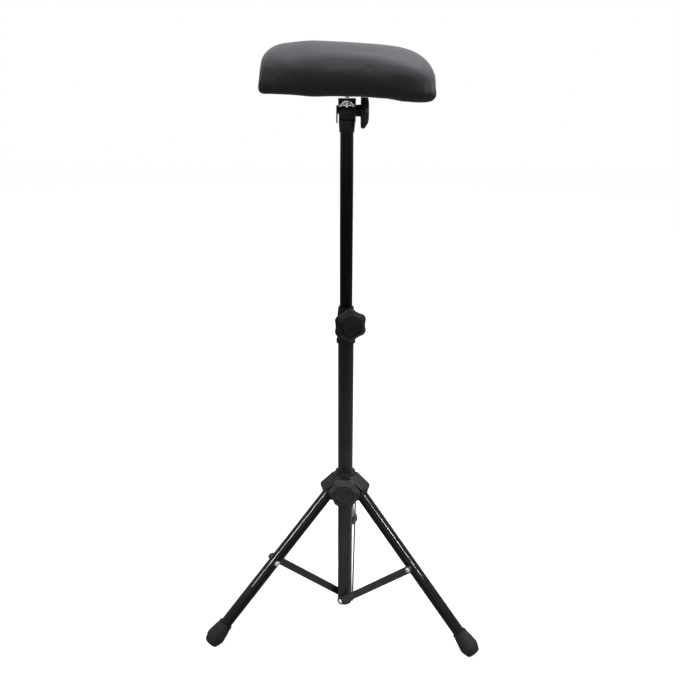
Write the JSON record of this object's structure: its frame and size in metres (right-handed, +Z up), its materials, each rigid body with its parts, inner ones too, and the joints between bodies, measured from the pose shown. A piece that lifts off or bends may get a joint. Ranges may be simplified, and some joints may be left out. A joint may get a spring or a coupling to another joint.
{
  "type": "tattoo arm rest stand",
  "caption": "Black folding tripod stand with a sliding mast, a tilting and swivelling head and a crowned padded arm rest.",
  "frame": {"origin": "on the floor under the mast's axis, at the middle of the mast foot's underside", "axes": "+Z up along the mast; the tilt axis and the arm rest's long side run along X, with the tilt knob at +X; the rear leg is near +Y"},
  "size_m": [0.5091, 0.4571, 1.0651],
  "materials": {
    "mast_paint": "satin black powder coat on the outer tube",
    "inner_paint": "gloss black paint on the inner tube",
    "leg_paint": "gloss black paint on the legs",
    "strut_paint": "satin black paint on the flat struts",
    "bracket_paint": "satin black paint on the folded bracket and the stud's plate",
    "black_plastic": "fine-grained black nylon",
    "knob_plastic": "matte black nylon knobs and their caps",
    "plug_plastic": "dark plastic plugs, bush and washers",
    "foot_rubber": "matte black rubber",
    "zinc": "bright zinc plate on rivets, nuts, screws, pins and staples",
    "brass": "turned brass insert",
    "board_wood": "raw plywood",
    "pad_leather": "soft black leatherette over foam"
  },
  "bodies": {
    "mast": {"outer_tube": "mast_paint", "mast_foot": "black_plastic", "anchor_rivets": "zinc", "height_collar": "black_plastic", "height_nut": "zinc"},
    "height_clamp": {"height_knob": "knob_plastic", "height_knob_cap": "knob_plastic", "height_screw": "zinc"},
    "slider": {"guide_bush": "plug_plastic"},
    "inner_mast": {"inner_tube": "inner_paint", "mast_head": "black_plastic", "head_pin": "zinc"},
    "bracket": {"tilt_bracket": "bracket_paint", "tilt_bolt": "zinc", "tilt_washers": "plug_plastic"},
    "tilt_clamp": {"tilt_knob": "knob_plastic", "tilt_knob_cap": "knob_plastic", "tilt_insert": "brass"},
    "wing_lock": {"wing_nut": "zinc"},
    "arm_rest": {"pad_stud": "zinc", "stud_plate": "bracket_paint", "plate_screws_set": "zinc", "jam_nut": "zinc", "pad_board": "board_wood", "pad_staples": "zinc", "pad_cushion": "pad_leather"},
    "spider": {"hub": "black_plastic", "hub_nut": "zinc", "hub_pins": "zinc"},
    "hub_clamp": {"hub_knob": "knob_plastic", "hub_knob_cap": "knob_plastic", "hub_screw": "zinc"},
    "left_leg_arm": {"left_leg": "leg_paint", "left_leg_plug": "plug_plastic", "left_leg_foot": "foot_rubber", "left_leg_rivet": "zinc"},
    "left_strut_arm": {"left_strut": "strut_paint", "left_strut_rivet": "zinc"},
    "right_leg_arm": {"right_leg": "leg_paint", "right_leg_plug": "plug_plastic", "right_leg_foot": "foot_rubber", "right_leg_rivet": "zinc"},
    "right_strut_arm": {"right_strut": "strut_paint", "right_strut_rivet": "zinc"},
    "rear_leg_arm": {"rear_leg": "leg_paint", "rear_leg_plug": "plug_plastic", "rear_leg_foot": "foot_rubber", "rear_leg_rivet": "zinc"},
    "rear_strut_arm": {"rear_strut": "strut_paint", "rear_strut_rivet": "zinc"}
  },
  "joints": [
    {"name": "height_slide", "type": "slide", "parent": "mast", "child": "slider", "axis": [0, 0, 1], "range_m": [-0.275, 0.15]},
    {"name": "mast_turn", "type": "hinge", "parent": "slider", "child": "inner_mast", "pos_m": [0, 0, 0.3], "axis": [0, 0, 1], "range_deg": [-180, 180]},
    {"name": "height_knob_turn", "type": "hinge", "parent": "mast", "child": "height_clamp", "pos_m": [0, 0, 0.606], "axis": [0.225, -0.9744, 0], "range_deg": [0, 720]},
    {"name": "head_tilt", "type": "hinge", "parent": "inner_mast", "child": "bracket", "pos_m": [0, 0, 0.9604], "axis": [1, 0, 0], "range_deg": [-60, 60]},
    {"name": "tilt_knob_turn", "type": "hinge", "parent": "bracket", "child": "tilt_clamp", "pos_m": [0.03, 0, 0.9604], "axis": [1, 0, 0], "range_deg": [0, 720]},
    {"name": "wing_nut_turn", "type": "hinge", "parent": "bracket", "child": "wing_lock", "pos_m": [0, -0.016, 0.973], "axis": [0, 0, 1], "range_deg": [0, 720]},
    {"name": "pad_swivel", "type": "hinge", "parent": "bracket", "child": "arm_rest", "pos_m": [0, -0.016, 0.978], "axis": [0, 0, 1], "range_deg": [-90, 90]},
    {"name": "tripod_fold", "type": "slide", "parent": "mast", "child": "spider", "axis": [0, 0, 1], "range_m": [0, 0.11032]},
    {"name": "hub_knob_turn", "type": "hinge", "parent": "spider", "child": "hub_clamp", "pos_m": [0, 0, 0.27596], "axis": [-0.0523, -0.9986, 0], "range_deg": [0, 720]},
    {"name": "left_leg_fold", "type": "hinge", "parent": "spider", "child": "left_leg_arm", "pos_m": [-0.02673, -0.01362, 0.26966], "axis": [0.454, -0.891, 0], "range_deg": [0, 42.11]},
    {"name": "left_strut_fold", "type": "hinge", "parent": "mast", "child": "left_strut_arm", "pos_m": [0, 0, 0.009], "axis": [-0.454, 0.891, 0], "range_deg": [0, 37.11]},
    {"name": "right_leg_fold", "type": "hinge", "parent": "spider", "child": "right_leg_arm", "pos_m": [0.02516, -0.01634, 0.26966], "axis": [0.5446, 0.8387, 0], "range_deg": [0, 42.11]},
    {"name": "right_strut_fold", "type": "hinge", "parent": "mast", "child": "right_strut_arm", "pos_m": [0, 0, 0.009], "axis": [-0.5446, -0.8387, 0], "range_deg": [0, 37.11]},
    {"name": "rear_leg_fold", "type": "hinge", "parent": "spider", "child": "rear_leg_arm", "pos_m": [0.00157, 0.02996, 0.26966], "axis": [-0.9986, 0.0523, 0], "range_deg": [0, 42.11]},
    {"name": "rear_strut_fold", "type": "hinge", "parent": "mast", "child": "rear_strut_arm", "pos_m": [0, 0, 0.009], "axis": [0.9986, -0.0523, 0], "range_deg": [0, 37.11]}
  ],
  "couplings": [
    {"joint": "left_leg_fold", "follows": "tripod_fold", "rad_per_m": 6.6602},
    {"joint": "left_strut_fold", "follows": "tripod_fold", "rad_per_m": 5.8693},
    {"joint": "right_leg_fold", "follows": "tripod_fold", "rad_per_m": 6.6602},
    {"joint": "right_strut_fold", "follows": "tripod_fold", "rad_per_m": 5.8693},
    {"joint": "rear_leg_fold", "follows": "tripod_fold", "rad_per_m": 6.6602},
    {"joint": "rear_strut_fold", "follows": "tripod_fold", "rad_per_m": 5.8693}
  ]
}
